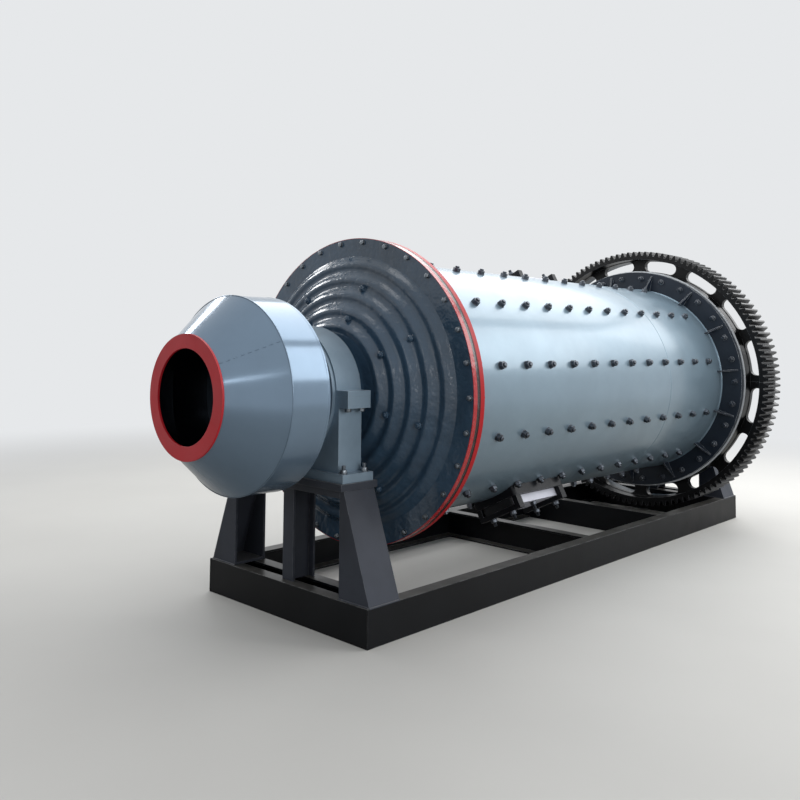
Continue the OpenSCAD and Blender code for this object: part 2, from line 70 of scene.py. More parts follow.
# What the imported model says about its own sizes
AXIS_Z = frame["joints"][0]["pos_m"][2]
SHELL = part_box("shell")
SHELL_R = (SHELL[1].y - SHELL[0].y) / 2
FEED_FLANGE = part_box("feed_shell_flange")
FEED_FLANGE_R = (FEED_FLANGE[1].y - FEED_FLANGE[0].y) / 2
FLANGE_T = FEED_FLANGE[1].x - FEED_FLANGE[0].x
FEED_JOINT = FEED_FLANGE[0].x
FEED_FACE = FEED_JOINT - FLANGE_T
GEAR_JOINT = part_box("gear_shell_flange")[1].x
GEAR_FLANGE_BACK = GEAR_JOINT - FLANGE_T
DISCHARGE_FACE = GEAR_JOINT + 2 * FLANGE_T
DISCHARGE_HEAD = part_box("discharge_head")
DISCHARGE_FLANGE_R = (DISCHARGE_HEAD[1].y - DISCHARGE_HEAD[0].y) / 2
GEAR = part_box("gear_half_upper")
SKID_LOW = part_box("side_rail_near")[0]
SKID_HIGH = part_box("side_rail_far")[1]
BEARINGS = {"feed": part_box("feed_bearing_base"), "discharge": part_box("discharge_bearing_base")}

# The gear's own sizes: how far behind the joint its web ends, its teeth's depth and its hub's wall
GEAR_WEB_BACK = GEAR_JOINT + 0.151
TOOTH_ROOT_R = (GEAR[1].y - GEAR[0].y) / 2 - 0.038
GEAR_HUB_R = DISCHARGE_FLANGE_R + 0.030

NEAR = -1
FAR = 1
FEEDWARD = Vector((-1, 0, 0))
GEARWARD = Vector((1, 0, 0))
UP = Vector((0, 0, 1))
DOWN = Vector((0, 0, -1))
# A line cast along the mill at a face starts this far from its middle, past both ends
PAST_ENDS = 4.0
draws = random.Random(11)


# Camera

# The photograph's view, solved from the skid's corners, the flanges' rims and the bolt rows
CAMERA_AT = Vector((-5.027, -3.449, 1.4755))
# Angles in radians
CAMERA_AZIMUTH = 0.7974
CAMERA_ELEVATION = 0.054
CAMERA_ROLL = 0.0126
# Focal length and principal point in the photograph's pixels
PHOTO_FOCAL = 434.5
PHOTO_CENTRE = (571.9, 154.6)
# The mill fills only the photograph's upper right quarter, so that square is enlarged to the frame
WINDOW_LEFT = 395
WINDOW_TOP = 0
WINDOW_SIDE = 417
SENSOR = 36


def photograph_camera():
    """Camera at the photograph's standpoint, framed on the mill by its lens and shift."""
    look = Vector((
        math.cos(CAMERA_ELEVATION) * math.cos(CAMERA_AZIMUTH),
        math.cos(CAMERA_ELEVATION) * math.sin(CAMERA_AZIMUTH),
        math.sin(CAMERA_ELEVATION),
    ))
    level = look.cross(UP).normalized()
    above = level.cross(look)
    right = level * math.cos(CAMERA_ROLL) + above * math.sin(CAMERA_ROLL)
    top = above * math.cos(CAMERA_ROLL) - level * math.sin(CAMERA_ROLL)
    bpy.ops.object.camera_add()
    camera = bpy.context.object
    turn = Matrix((right, top, -look)).transposed()
    camera.matrix_world = Matrix.Translation(CAMERA_AT) @ turn.to_4x4()
    camera.data.sensor_width = SENSOR
    camera.data.lens = SENSOR * PHOTO_FOCAL / WINDOW_SIDE
    camera.data.shift_x = 0.5 - (PHOTO_CENTRE[0] - WINDOW_LEFT) / WINDOW_SIDE
    camera.data.shift_y = (PHOTO_CENTRE[1] - WINDOW_TOP) / WINDOW_SIDE - 0.5
    scene.camera = camera


photograph_camera()


# Modelling helpers

def deselect():
    """Leaves no object selected, because an operator acts on all that is."""
    bpy.ops.object.select_all(action="DESELECT")


def edit(piece):
    """Opens a piece in edit mode with nothing selected, and hands back its mesh."""
    deselect()
    piece.select_set(True)
    bpy.context.view_layer.objects.active = piece
    bpy.ops.object.mode_set(mode="EDIT")
    bpy.ops.mesh.select_all(action="DESELECT")
    bpy.ops.mesh.select_mode(type="FACE")
    return bmesh.from_edit_mesh(piece.data)


def close_edit():
    """Goes back to object mode with the mesh as edited."""
    bpy.ops.object.mode_set(mode="OBJECT")


def select_top(mesh):
    """Selects the flat faces that look up."""
    for face in mesh.faces:
        face.select_set(face.normal.z > 0.9)


def settle(piece):
    """Puts a piece's place into its mesh, so that its object sits at the origin."""
    deselect()
    piece.select_set(True)
    bpy.context.view_layer.objects.active = piece
    bpy.ops.object.transform_apply(location=True, rotation=True, scale=True)


def join(pieces, name):
    """Joins pieces into one of the given name, at the origin."""
    deselect()
    for piece in pieces:
        piece.select_set(True)
    bpy.context.view_layer.objects.active = pieces[0]
    if len(pieces) > 1:
        bpy.ops.object.join()
    whole = bpy.context.object
    whole.name = name
    whole.data.name = name
    settle(whole)
    return whole


def bevel(piece, width):
    """Breaks a piece's sharp edges."""
    modifier = piece.modifiers.new("edge", "BEVEL")
    modifier.width = width
    modifier.segments = 1
    modifier.limit_method = "ANGLE"
    bpy.context.view_layer.objects.active = piece
    bpy.ops.object.modifier_apply(modifier=modifier.name)


def smooth(piece, angle):
    """Shades a piece smooth wherever its faces meet at less than an angle in degrees."""
    deselect()
    piece.select_set(True)
    bpy.context.view_layer.objects.active = piece
    bpy.ops.object.shade_smooth_by_angle(angle=math.radians(angle))


def repeat(master, name, places):
    """Copies a piece to each place, with a mesh of its own, and joins the copies into one."""
    copies = []
    for place in places:
        copy = master.copy()
        copy.data = master.data.copy()
        scene.collection.objects.link(copy)
        copy.matrix_world = place
        copies.append(copy)
    bpy.data.objects.remove(master)
    return join(copies, name)


def dress(piece, material, body):
    """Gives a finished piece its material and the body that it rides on."""
    piece.data.materials.clear()
    piece.data.materials.append(material)
    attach(piece, body)


# Places on the mill

def facing(at, way, turn=None):
    """Carries +Z to a direction at a place, turned about it by chance or by a given angle."""
    if turn is None:
        turn = draws.uniform(0, math.tau)
    aim = way.to_track_quat("Z", "Y").to_matrix().to_4x4()
    return Matrix.Translation(at) @ aim @ Matrix.Rotation(turn, 4, "Z")


def outwards(angle):
    """Direction away from the drum's axis, at degrees from the near side upwards."""
    a = math.radians(angle)
    return Vector((0, -math.cos(a), math.sin(a)))


def on_drum(x, angle, radius):
    """Point at a place along the mill, an angle and a distance from the drum's axis."""
    return Vector((x, 0, AXIS_Z)) + radius * outwards(angle)


def ring(count, first, x, radius, way):
    """Places evenly round the drum's axis, each facing along the mill."""
    return [facing(on_drum(x, first + k * 360 / count, radius), way) for k in range(count)]


def first_hit(node, start, way):
    """Where a line from a point first meets a CAD node."""
    hit, at, _, _ = nodes[node].ray_cast(start, way)
    if not hit:
        raise ValueError(f"{node} is not in the way of a line from {tuple(start)}")
    return at


def face_ring(node, count, first, radius, way, sunk=0.0):
    """Places evenly round the drum's axis, on the face of a CAD node that looks the given way."""
    places = []
    for k in range(count):
        start = on_drum(0, first + k * 360 / count, radius) + way * PAST_ENDS
        places.append(facing(first_hit(node, start, -way) - way * sunk, way))
    return places


# Fasteners, each modelled once, standing on z = 0

# Sizes of a standard metric nut or head and its washer, as shares of the thread's diameter
ACROSS_FLATS = 1.53
HEAD_HEIGHT = 0.8
WASHER_ACROSS = 1.95
WASHER_HEIGHT = 0.16
# Diameter at the root of a thread, as a share of that at its crest
THREAD_ROOT = 0.88
# Fasteners are shaded smooth up to this angle, so that their chamfers and flats stay crisp
CRISP = 30


def hexagon(across, height, base):
    """Nut or bolt head with its chamfered top."""
    chamfer = 0.07 * across
    straight = height - chamfer / 2
    bpy.ops.mesh.primitive_cylinder_add(
        vertices=6, radius=across / math.sqrt(3), depth=straight, location=(0, 0, base + straight / 2))
    piece = bpy.context.object
    settle(piece)
    select_top(edit(piece))
    bpy.ops.mesh.inset(thickness=chamfer, depth=chamfer / 2)
    close_edit()
    bevel(piece, 0.02 * across)
    return piece


def washer(diameter, thickness):
    """Flat washer with its edges broken."""
    bpy.ops.mesh.primitive_cylinder_add(
        vertices=24, radius=diameter / 2, depth=thickness, location=(0, 0, thickness / 2))
    piece = bpy.context.object
    settle(piece)
    bevel(piece, 0.25 * thickness)
    return piece


def stud_end(diameter, length, base, threads):
    """End of a stud above its nut, chamfered, with its threads as rings where they show."""
    bpy.ops.mesh.primitive_cylinder_add(
        vertices=16, radius=diameter / 2, depth=length, location=(0, 0, base + length / 2))
    piece = bpy.context.object
    settle(piece)
    if threads:
        half_pitch = length / threads / 2
        edit(piece)
        for k in range(1, 2 * threads):
            bpy.ops.mesh.select_all(action="SELECT")
            bpy.ops.mesh.bisect(plane_co=(0, 0, base + k * half_pitch), plane_no=UP)
        close_edit()
        for vertex in piece.data.vertices:
            step = round((vertex.co.z - base) / half_pitch)
            if step % 2 and step < 2 * threads:
                vertex.co.x *= THREAD_ROOT
                vertex.co.y *= THREAD_ROOT
    select_top(edit(piece))
    bpy.ops.mesh.inset(thickness=0.1 * diameter, depth=0.08 * diameter)
    close_edit()
    return piece


def bolt(thread, stud=0.0, threads=0, plate=None):
    """Nut or head of a metric size on its washer or wider plate, with its stud's end where it has one."""
    height = HEAD_HEIGHT * thread
    seat = WASHER_HEIGHT * thread
    pieces = [washer(plate or WASHER_ACROSS * thread, seat), hexagon(ACROSS_FLATS * thread, height, seat)]
    if stud:
        pieces.append(stud_end(thread, stud, seat + height, threads))
    whole = join(pieces, "fastener")
    smooth(whole, CRISP)
    return whole


# Materials

def linear(colour):
    """Linear RGBA of an sRGB hex colour."""
    parts = [int(colour[k:k + 2], 16) / 255 for k in (1, 3, 5)]
    return [p / 12.92 if p <= 0.04045 else ((p + 0.055) / 1.055) ** 2.4 for p in parts] + [1.0]


def add(tree, kind, settings=None, links=None):
    """Adds a node, with values for its sockets or properties and outputs linked to its inputs."""
    made = tree.nodes.new(kind)
    for key, value in (settings or {}).items():
        if isinstance(key, int) or key in made.inputs:
            made.inputs[key].default_value = value
        else:
            setattr(made, key, value)
    for key, output in (links or {}).items():
        tree.links.new(output, made.inputs[key])
    return made


def new_material(name):
    """Empty node material, and its node tree."""
    material = bpy.data.materials.new(name)
    material.use_nodes = True
    material.node_tree.nodes.clear()
    return material, material.node_tree


# Socket numbers of a Mix node that mixes colours
FACTOR, COLOUR_A, COLOUR_B, COLOUR_OUT = 0, 6, 7, 2


def blend(tree, factor, a, b):
    """Colour between a and b, each a linear colour or an output."""
    settings = {"data_type": "RGBA"}
    links = {FACTOR: factor}
    for socket, value in ((COLOUR_A, a), (COLOUR_B, b)):
        (links if isinstance(value, bpy.types.NodeSocket) else settings)[socket] = value
    return add(tree, "ShaderNodeMix", settings, links).outputs[COLOUR_OUT]


def noise(tree, where, size, detail=3.0, rough=0.5):
    """Noise whose patches are about the given size across."""
    made = add(tree, "ShaderNodeTexNoise", {"Scale": 1 / size, "Detail": detail, "Roughness": rough},
               {"Vector": where})
    return made.outputs["Fac"]


def span(tree, value, low, high, to_low=0.0, to_high=1.0):
    """Spreads the part of a value between low and high over a new range."""
    made = add(tree, "ShaderNodeMapRange",
               {"From Min": low, "From Max": high, "To Min": to_low, "To Max": to_high},
               {"Value": value})
    return made.outputs["Result"]


def multiply(tree, value, other):
    """Product of an output and another output or a number."""
    if isinstance(other, bpy.types.NodeSocket):
        return add(tree, "ShaderNodeMath", {"operation": "MULTIPLY"}, {0: value, 1: other}).outputs[0]
    return add(tree, "ShaderNodeMath", {"operation": "MULTIPLY", 1: other}, {0: value}).outputs[0]


# How far across the patches are in which a paint's depth, gloss, dust and edge wear and highlight differ
DEPTH_PATCH = 0.5
GLOSS_PATCH = 0.15
DUST_PATCH = 0.12
EDGE_PATCH = 0.06


def edge_wear_and_highlight(tree, width, where):
    """Mask of the sharp edges, broken up in patches: their wear, and on some paints a painted highlight."""
    rounded = add(tree, "ShaderNodeBevel", {"samples": 6, "Radius": width})
    geometry = add(tree, "ShaderNodeNewGeometry")
    likeness = add(tree, "ShaderNodeVectorMath", {"operation": "DOT_PRODUCT"},
                   {0: rounded.outputs["Normal"], 1: geometry.outputs["Normal"]})
    edge = span(tree, likeness.outputs["Value"], 0.99, 0.85)
    return multiply(tree, edge, span(tree, noise(tree, where, EDGE_PATCH), 0.35, 0.6))


def from_axis(tree, where):
    """A point's vector from the drum's axis, square to it."""
    return add(tree, "ShaderNodeMapping", {"Location": (0, 0, -AXIS_Z), "Scale": (0, 1, 1)},
               {"Vector": where}).outputs["Vector"]


def axis_distance(tree, where):
    """A point's distance from the drum's axis."""
    return add(tree, "ShaderNodeVectorMath", {"operation": "LENGTH"},
               {0: from_axis(tree, where)}).outputs["Value"]


def component(tree, vector, axis):
    """A vector's part along X, Y or Z."""
    return add(tree, "ShaderNodeSeparateXYZ", None, {"Vector": vector}).outputs[axis]


def facing_normal(tree):
    """Which way the surface faces, in the piece's own axes."""
    return add(tree, "ShaderNodeTexCoord").outputs["Normal"]


def looks_inwards(tree, where):
    """1 where a surface faces the drum's axis, 0 where it faces away."""
    away = add(tree, "ShaderNodeVectorMath", {"operation": "DOT_PRODUCT"},
               {0: from_axis(tree, where), 1: facing_normal(tree)})
    return span(tree, away.outputs["Value"], 0.02, -0.02)


# Half the width over which one zone of colour passes into the next
SOFT = 0.001


def beyond(tree, value, limit, soft=SOFT):
    """1 where a value is over a limit, 0 where it is under it."""
    return span(tree, value, limit - soft, limit + soft)


def short_of(tree, value, limit, soft=SOFT):
    """1 where a value is under a limit, 0 where it reaches it."""
    return span(tree, value, limit, limit - soft)


def deepen(colour, share):
    """A linear colour made darker, or lighter with a negative share."""
    return [min(c * (1 - share), 1) for c in colour[:3]] + [1]


# A paint's roughness runs from its duller to its glossier patches between these shares of its own. The
# whole range keeps to one side of 0.27, because the denoiser leaves flecks on a surface that crosses it
GLOSSIEST = 0.9
DULLEST = 1.2
METAL_GLOSSIEST = 0.8
COAT_ROUGHNESS = 0.12
DUST = "#b4b0a8"


def paint(name, colour, roughness, tone=0.12, flake=0.0, ior=1.45, coat=0.0, wave=0.0, wave_size=0.3,
          grain=0.0, grain_size=0.02, edge="#8c9296", edge_share=0.5, edge_width=0.003, dust=0.0,
          recolour=None):
    """Enamel on steel or iron.

    tone is how far its depth drifts over half a metre, flake its share of aluminium pigment, wave the
    height of dents in the plate, grain the height of the metal's own texture, edge the colour that
    worn edges show, and on some paints a painted highlight along them, dust how much settles on what
    faces up, and recolour a function that paints zones in other colours.
    """
    material, tree = new_material(name)
    where = add(tree, "ShaderNodeTexCoord").outputs["Object"]
    patches = span(tree, noise(tree, where, DEPTH_PATCH, 5.0, 0.6), 0.35, 0.65)
    shown = blend(tree, patches, deepen(linear(colour), tone), deepen(linear(colour), -tone))
    if recolour:
        shown = recolour(tree, where, shown)
    if edge_share:
        edge_wear_and_glint = multiply(tree, edge_wear_and_highlight(tree, edge_width, where), edge_share)
        shown = blend(tree, edge_wear_and_glint, shown, linear(edge))
    if dust:
        facing_up = span(tree, component(tree, facing_normal(tree), "Z"), 0.5, 1.0, 0.0, dust)
        drifts = span(tree, noise(tree, where, DUST_PATCH, 6.0, 0.65), 0.3, 0.7, 0.4, 1.0)
        shown = blend(tree, multiply(tree, facing_up, drifts), shown, linear(DUST))
    sheen = span(tree, noise(tree, where, GLOSS_PATCH, 4.0, 0.6), 0.3, 0.7,
                 roughness * GLOSSIEST, roughness * DULLEST)
    surface = add(tree, "ShaderNodeNewGeometry").outputs["Normal"]
    if edge_width:
        surface = add(tree, "ShaderNodeBevel", {"samples": 6, "Radius": edge_width}).outputs["Normal"]
    for height, size, detail in ((wave, wave_size, 2.0), (grain, grain_size, 5.0)):
        if height:
            surface = add(tree, "ShaderNodeBump", {"Strength": 1.0, "Distance": height},
                          {"Height": noise(tree, where, size, detail, 0.6),
                           "Normal": surface}).outputs["Normal"]
    shader = add(tree, "ShaderNodeBsdfPrincipled",
                 {"Metallic": flake, "IOR": ior, "Coat Weight": coat, "Coat Roughness": COAT_ROUGHNESS},
                 {"Base Color": shown, "Roughness": sheen, "Normal": surface})
    add(tree, "ShaderNodeOutputMaterial", None, {"Surface": shader.outputs["BSDF"]})
    return material


def metal(name, colour, roughness, grain=0.0001, grain_size=0.004):
    """Bare or plated metal, with its tool marks or cast skin."""
    material, tree = new_material(name)
    where = add(tree, "ShaderNodeTexCoord").outputs["Object"]
    tones = noise(tree, where, 0.03, 4.0)
    shown = blend(tree, span(tree, tones, 0.3, 0.7), deepen(linear(colour), 0.2), linear(colour))
    sheen = span(tree, tones, 0.3, 0.7, roughness * METAL_GLOSSIEST, roughness * DULLEST)
    surface = add(tree, "ShaderNodeBump", {"Strength": 1.0, "Distance": grain},
                  {"Height": noise(tree, where, grain_size, 3.0)}).outputs["Normal"]
    shader = add(tree, "ShaderNodeBsdfPrincipled", {"Metallic": 1.0},
                 {"Base Color": shown, "Roughness": sheen, "Normal": surface})
    add(tree, "ShaderNodeOutputMaterial", None, {"Surface": shader.outputs["BSDF"]})
    return material


RED = "#b50f1a"
# Painted shade at the feed joint: where it starts before the joint and ends past it, and its depth in from
# the rim
LINE_BEFORE = 0.016
LINE_PAST = 0.012
LINE_DEPTH = 0.020
# Width of the discharge head's bolting ring
BOLTING_RING = 0.075
# How far a zone of colour lies from the edge that it follows
EDGE_ZONE = 0.003


def red_rim(tree, where, shown):
    """The feed head's flange is red round its edge, up to the painted shade at the joint."""
    edge = beyond(tree, axis_distance(tree, where), FEED_FLANGE_R - EDGE_ZONE)
    shown = blend(tree, edge, shown, linear(RED))
    return joint_painted_shade(tree, where, shown)


def joint_painted_shade(tree, where, shown):
    """Painted shade: a dark band where the two red flanges meet."""
    x = component(tree, where, "X")
    near = beyond(tree, x, FEED_JOINT - LINE_BEFORE)
    past = beyond(tree, x, FEED_JOINT + LINE_PAST)
    outside = beyond(tree, axis_distance(tree, where), FEED_FLANGE_R - LINE_DEPTH)
    shown = blend(tree, multiply(tree, near, outside), shown, linear("#220306"))
    return blend(tree, past, shown, linear(RED))


def dark_bolting_ring(tree, where, shown):
    """The discharge head's bolting ring is a darker grey than its waved face."""
    bolting_ring = beyond(tree, axis_distance(tree, where), DISCHARGE_FLANGE_R - BOLTING_RING)
    return blend(tree, bolting_ring, shown, linear("#434d56"))


def grey_end(tree, where, shown):
    """Behind its web the gear is grey like the head, up to its teeth, and its hub's bare front edge is
    coloured near white as a painted highlight.
    """
    x = component(tree, where, "X")
    from_middle = axis_distance(tree, where)
    behind = beyond(tree, x, GEAR_WEB_BACK + EDGE_ZONE)
    under_teeth = short_of(tree, from_middle, TOOTH_ROOT_R)
    shown = blend(tree, multiply(tree, behind, under_teeth), shown, linear("#515d67"))
    # Painted highlight: the hub's bare front edge is coloured near white
    front = short_of(tree, x, GEAR_JOINT + EDGE_ZONE, 2 * SOFT)
    hub = short_of(tree, from_middle, GEAR_HUB_R + 2 * SOFT)
    return blend(tree, multiply(tree, front, hub), shown, linear("#d5dade"))


def painted_shade_inside(tree, where, shown):
    """Inside, the feeder is coloured blue black as painted shade, for how little light gets in."""
    return blend(tree, looks_inwards(tree, where), shown, linear("#0b0f18"))


def dark_ends(tree, where, shown):
    """The manhole covers are dark on the faces that look along the mill."""
    sideways = add(tree, "ShaderNodeMath", {"operation": "ABSOLUTE"},
                   {0: component(tree, facing_normal(tree), "X")}).outputs[0]
    return blend(tree, beyond(tree, sideways, 0.7, 0.05), shown, linear("#15181c"))


# Aluminium-pigmented enamel on rolled plate: satin, silvery where it sees the sky and dark below
SHELL_PAINT = paint("aluminium_enamel_on_rolled_plate", "#8197a6", 0.31, tone=0.06, flake=0.45, coat=0.5,
                    wave=0.0012, wave_size=0.35, edge_share=0, edge_width=0)
# The same enamel on the rolled and welded feeder: glossier, with a sharp streak of light, and painted shade
# inside
FEEDER_PAINT = paint("aluminium_enamel_on_feeder_plate", "#7b91a6", 0.16, tone=0.06, flake=0.45, coat=0.3,
                     wave=0.001, wave_size=0.25, edge_share=0, edge_width=0, recolour=painted_shade_inside)
# Dark enamel on a rough sand casting: glossy, so each crest breaks into sparks of light
FEED_HEAD_PAINT = paint("enamel_on_sand_cast_iron_slate", "#395065", 0.17, tone=0.25, coat=0.5,
                        wave=0.009, wave_size=0.07, grain=0.0012, grain_size=0.012, edge="#6b7780",
                        edge_share=0.15, recolour=red_rim)
# The same casting in satin grey, with aluminium pigment
DISCHARGE_HEAD_PAINT = paint("enamel_on_sand_cast_iron_grey", "#74838e", 0.32, tone=0.15, flake=0.35,
                             coat=0.4, wave=0.002, wave_size=0.12, grain=0.0012, edge_share=0.3,
                             recolour=dark_bolting_ring)
# Black enamel on the cast gear: satin, its teeth's edges bright with wear and painted highlight
GEAR_PAINT = paint("black_enamel_on_cast_gear", "#08090b", 0.32, tone=0.25, ior=1.34, wave=0.0015,
                   wave_size=0.1, grain=0.0004, grain_size=0.012, edge="#b9bec3", edge_share=0.7,
                   recolour=grey_end)
# Blue black enamel on the shell's gear flange: satin, with a painted highlight along its gussets' edges
GEAR_FLANGE_PAINT = paint("blue_black_enamel_on_flange", "#1e2631", 0.32, tone=0.2, ior=1.4, wave=0.001,
                          wave_size=0.15, grain=0.0003, grain_size=0.012, edge="#cdd3d9",
                          edge_share=0.9, edge_width=0.004)
# Signal red enamel on turned flanges, clean and even but for painted shade at their joint, and a rougher
# copy on the feeder's mouth
RED_PAINT = paint("red_enamel_on_turned_steel", RED, 0.36, tone=0.15, ior=1.34, grain=0.0001,
                  grain_size=0.01, edge="#dfa09c", edge_share=0.35, recolour=joint_painted_shade)
# The copy's red is painted light: shifted from the flanges' red to match the mouth ring where it is lit
MOUTH_RED_PAINTED_LIGHT = paint("red_enamel_on_mouth_ring_with_painted_light", "#c01f2a", 0.42, tone=0.15, grain=0.0001,
                  grain_size=0.01, edge="#c9a29f", edge_share=0.2)
# Black enamel on rolled channels: satin, dusty on top, grey along its edges with wear and painted highlight
SKID_PAINT = paint("black_enamel_on_rolled_channel", "#0c0e12", 0.32, tone=0.25, ior=1.34, wave=0.0008,
                   wave_size=0.2, grain=0.0001, grain_size=0.012, edge="#9a9ea1", edge_share=0.7,
                   edge_width=0.004, dust=0.22)
# Charcoal enamel on the welded pedestals: dull, dusty on top, its edges worn to grey
PEDESTAL_PAINT = paint("charcoal_enamel_on_plate", "#3c4049", 0.42, tone=0.18, ior=1.3, wave=0.001,
                       wave_size=0.2, grain=0.0001, grain_size=0.012, edge="#9a9ea1", edge_share=0.5,
                       edge_width=0.004, dust=0.22)
# Grey enamel on the bearings' castings: satin over the sand's fine grain, a little silvery
BEARING_PAINT = paint("grey_enamel_on_cast_housing", "#8397a7", 0.33, tone=0.15, flake=0.25, coat=0.2,
                      wave=0.001, wave_size=0.12, grain=0.0005, grain_size=0.014, edge_share=0.3,
                      dust=0.15)
# Dark enamel on the manholes' frames and clamps, nearly without shine, and chalky primer on their covers
MANHOLE_PAINT = paint("dark_enamel_on_manhole_frame", "#101318", 0.4, tone=0.2, ior=1.3, grain=0.0003,
                      edge="#a4a9ad", edge_share=0.6)
COVER_PAINT = paint("pale_primer_on_manhole_cover", "#d2d5e1", 0.45, tone=0.1, grain=0.0002,
                    edge="#dfe1e8", edge_share=0.4, recolour=dark_ends)
# Cast bronze with a dull skin, and steel fasteners, oiled to a soft grey shine or blackened to a satin one
BRONZE = metal("cast_bronze_bush", "#b08d57", 0.35)
GREY_STEEL = metal("oiled_grey_steel", "#7b8187", 0.38)
BLACK_OXIDE = metal("blackened_steel", "#5c6168", 0.35)

FINISHES = {
    "skid_paint": SKID_PAINT,
    "pedestal_paint": PEDESTAL_PAINT,
    "bearing_paint": BEARING_PAINT,
    "bush_bronze": BRONZE,
    "shell_paint": SHELL_PAINT,
    "feed_head_paint": FEED_HEAD_PAINT,
    "discharge_head_paint": DISCHARGE_HEAD_PAINT,
    "gear_paint": GEAR_PAINT,
    "red_paint": RED_PAINT,
    "manhole_paint": MANHOLE_PAINT,
    "cover_paint": COVER_PAINT,
}
# Nodes whose finish differs from that of their slot
OWN_FINISHES = {
    "feeder_drum": FEEDER_PAINT,
    "feeder_back_plate": FEEDER_PAINT,
    "feeder_mouth_ring": MOUTH_RED_PAINTED_LIGHT,
    "gear_shell_flange": GEAR_FLANGE_PAINT,
}

for part in frame["record"]["subparts"]:
    finish = OWN_FINISHES.get(part["node"], FINISHES[part["material_slot"]])
    for material_slot in nodes[part["node"]].material_slots:
        material_slot.material = finish


# Bolts through the drum

# Across the round plate under a liner bolt's nut, on the shell and on the heads
LINER_PLATE = 0.050
LINER_THREAD = 0.027
LINER_STUD = 0.009
LINER_ROWS = 12
FIRST_LINER_ANGLE = 12
LINERS_A_ROW = 12
FIRST_LINER_X = SKID_LOW.x + 0.942
LINER_PITCH = 0.256
# A washer or a bead on the rolled plate lies this far into it, so that no edge of it stands off
SUNK = 0.001


def liner_bolts():
    """Nuts of the bolts that hold the liners, in rows along the shell."""
    places = []
    for row in range(LINER_ROWS):
        angle = FIRST_LINER_ANGLE + row * 360 / LINER_ROWS
        for k in range(LINERS_A_ROW):
            at = on_drum(FIRST_LINER_X + k * LINER_PITCH, angle, SHELL_R - SUNK)
            places.append(facing(at, outwards(angle)))
    piece = repeat(bolt(LINER_THREAD, LINER_STUD, plate=LINER_PLATE), "liner_bolts", places)
    dress(piece, BLACK_OXIDE, "drum")


FLANGE_BOLTS = 30
FEED_FLANGE_THREAD = 0.016
FEED_FLANGE_STUD = 0.012
GEAR_FLANGE_THREAD = 0.024
GEAR_FLANGE_STUD = 0.008
FEED_CIRCLE = FEED_FLANGE_R - 0.026
GEAR_CIRCLE = DISCHARGE_FLANGE_R - 0.038


def flange_bolts():
    """Bolts of the drum's two joints, heads on the heads' side and nuts on the shell's."""
    heads = repeat(bolt(FEED_FLANGE_THREAD), "feed_flange_bolt_heads",
                   ring(FLANGE_BOLTS, 0, FEED_FACE, FEED_CIRCLE, FEEDWARD))
    dress(heads, GREY_STEEL, "drum")
    nuts = repeat(bolt(FEED_FLANGE_THREAD, FEED_FLANGE_STUD), "feed_flange_nuts",
                  ring(FLANGE_BOLTS, 0, FEED_FLANGE[1].x, FEED_CIRCLE, GEARWARD))
    dress(nuts, RED_PAINT, "drum")
    heads = repeat(bolt(GEAR_FLANGE_THREAD), "gear_flange_bolt_heads",
                   ring(FLANGE_BOLTS, 0, DISCHARGE_FACE, GEAR_CIRCLE, GEARWARD))
    dress(heads, DISCHARGE_HEAD_PAINT, "drum")
    nuts = repeat(bolt(GEAR_FLANGE_THREAD, GEAR_FLANGE_STUD), "gear_flange_nuts",
                  ring(FLANGE_BOLTS, 0, GEAR_FLANGE_BACK, GEAR_CIRCLE, FEEDWARD))
    dress(nuts, GEAR_FLANGE_PAINT, "drum")


HEAD_BOLTS = 8
HEAD_THREAD = 0.022
HEAD_STUD = 0.008
# How deep their flat plates lie in the castings' waves
HEAD_SUNK = 0.004
# Radius and first angle of each ring of liner bolts on a head
FEED_HEAD_RINGS = ((0.605, -15), (0.425, -15))
DISCHARGE_HEAD_RINGS = ((0.616, -2), (0.398, -2))


def head_bolts(name, node, rings, way, material):
    """Liner bolts on a head, seated on its waves."""
    places = []
    for radius, first in rings:
        places += face_ring(node, HEAD_BOLTS, first, radius, way, HEAD_SUNK)
    piece = repeat(bolt(HEAD_THREAD, HEAD_STUD, plate=LINER_PLATE), name, places)
    dress(piece, material, "drum")


# Bolts of the bearings

COVER_BOLTS = 10
COVER_THREAD = 0.016
# How far in from a cover's edge its bolts stand
COVER_INSET = 0.024
GLAND_BOLTS = 8
GLAND_THREAD = 0.012
GLAND_CIRCLE = 0.199


def cover_bolts():
    """Rings of bolts on the bearings' end covers and on the gland ring."""
    for end, way in (("feed", FEEDWARD), ("discharge", GEARWARD)):
        low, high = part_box(f"{end}_outer_cover")
        circle = (high.y - low.y) / 2 - COVER_INSET
        first = 180 / COVER_BOLTS
        places = face_ring(f"{end}_outer_cover", COVER_BOLTS, first, circle, way)
        places += face_ring(f"{end}_inner_cover", COVER_BOLTS, first, circle, -way)
        piece = repeat(bolt(COVER_THREAD), f"{end}_cover_bolts", places)
        dress(piece, BEARING_PAINT, "base")
    places = face_ring("discharge_outer_cover", GLAND_BOLTS, 180 / GLAND_BOLTS, GLAND_CIRCLE, GEARWARD)
    piece = repeat(bolt(GLAND_THREAD), "gland_bolts", places)
    dress(piece, BEARING_PAINT, "base")


# The studs in a bearing's feet: their thread and free end, and their distances from its middle
FOOT_THREAD = 0.022
FOOT_STUD = 0.020
FOOT_X = 0.075
FOOT_Y = 0.414
# A line cast down at a foot starts this far above the pedestal, under the bearing's ears
OVER_FOOT = 0.2
# The bolts under the ears of a bearing's split, from below its axis
EAR_THREAD = 0.020
EAR_X = 0.050
EAR_Y = 0.416
EAR_DROP = 0.060
# Rings that stand for the threads of a stud that shows, coarser than the real ones so that they show
STUD_THREADS = 5


